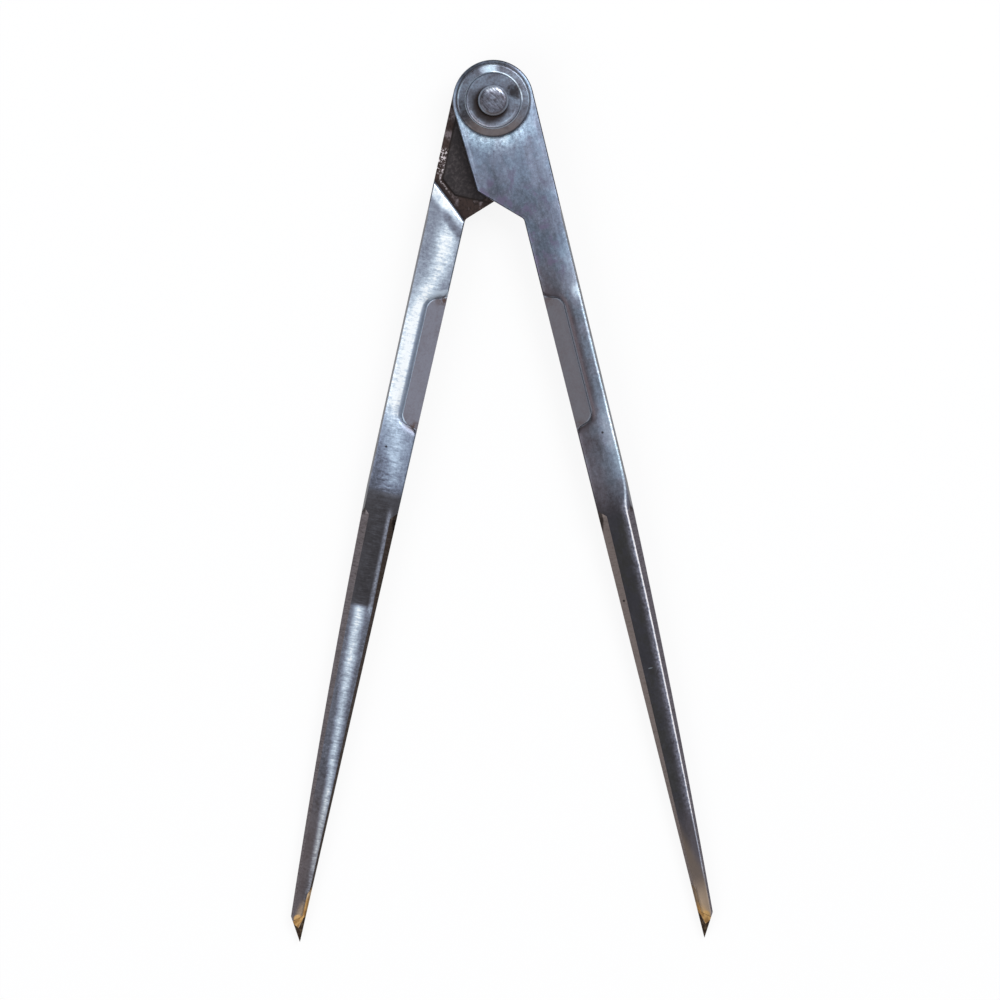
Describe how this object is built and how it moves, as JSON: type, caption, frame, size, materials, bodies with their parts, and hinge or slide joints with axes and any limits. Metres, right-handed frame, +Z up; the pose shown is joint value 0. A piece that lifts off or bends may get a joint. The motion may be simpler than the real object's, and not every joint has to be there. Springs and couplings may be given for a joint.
{
  "type": "scribing divider",
  "caption": "Firm joint scribing divider: two forged steel legs lapped and riveted at the head, each with a brazed carbide point.",
  "frame": {"origin": "middle of the underside of the whole tool as it lies on its back, open by 27 degrees", "axes": "+Y from the points towards the head, +X towards the right leg, +Z up from the surface it lies on, towards the dished front washer"},
  "size_m": [0.1166, 0.2434, 0.0169],
  "materials": {
    "leg_steel": "belt-ground and worn bright, darker towards the points",
    "washer_steel": "turned, with dirt in the dish",
    "rivet_steel": "turned, scratched on its face",
    "braze_metal": "ground flush, gold",
    "carbide": "ground, dull dark grey"
  },
  "bodies": {
    "left_side": {"left_leg": "leg_steel", "left_braze": "braze_metal", "left_carbide_tip": "carbide", "pivot_rivet": "rivet_steel", "front_washer": "washer_steel", "rear_washer": "washer_steel"},
    "right_side": {"right_leg": "leg_steel", "right_braze": "braze_metal", "right_carbide_tip": "carbide"}
  },
  "joints": [
    {"name": "pivot", "type": "hinge", "parent": "left_side", "child": "right_side", "pos_m": [0, 0.11037, 0.00843], "axis": [0, -0.0295, 0.9996], "range_deg": [-27, 153]}
  ]
}
